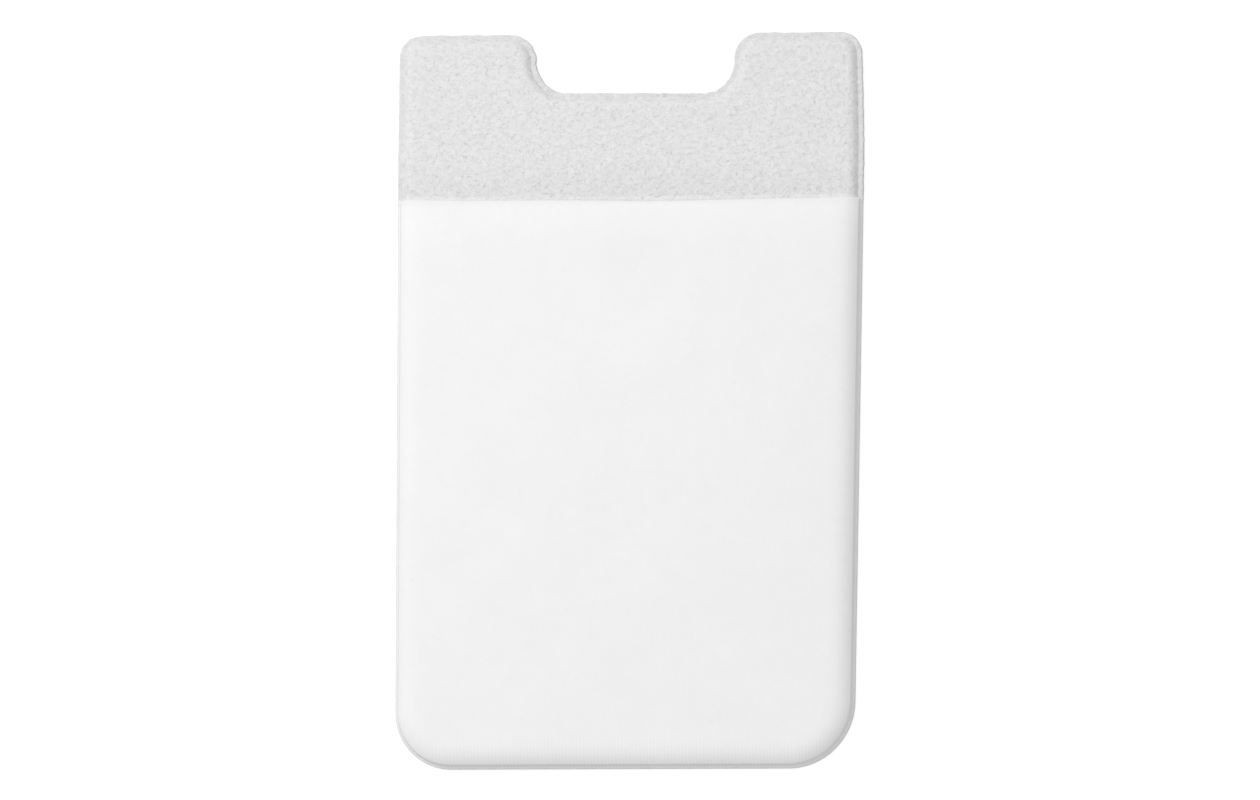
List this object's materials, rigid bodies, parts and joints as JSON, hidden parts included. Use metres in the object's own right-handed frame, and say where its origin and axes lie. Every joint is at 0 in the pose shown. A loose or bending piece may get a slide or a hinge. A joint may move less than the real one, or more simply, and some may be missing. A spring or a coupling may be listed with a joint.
{
  "type": "stick-on phone card holder",
  "caption": "Flat adhesive-backed card pouch: a pressed padded panel with a thumb notch and a stretch-knit pocket with a folded mouth, welded in a thin rim.",
  "frame": {"origin": "centre of the outline, on the outer face of the release liner, which the holder lies on", "axes": "+X to the right across the pocket, +Y towards the thumb notch, +Z out of the pocket's front"},
  "size_m": [0.06, 0.095, 0.003],
  "materials": {
    "liner_paper": "satin",
    "adhesive": "satin",
    "foam": "matte",
    "brushed_facing": "matte",
    "pocket_knit": "matte"
  },
  "bodies": {
    "root": {"release_liner": "liner_paper", "adhesive_sheet": "adhesive", "foam_core": "foam", "back_facing": "brushed_facing", "pocket_front": "pocket_knit"}
  },
  "joints": []
}
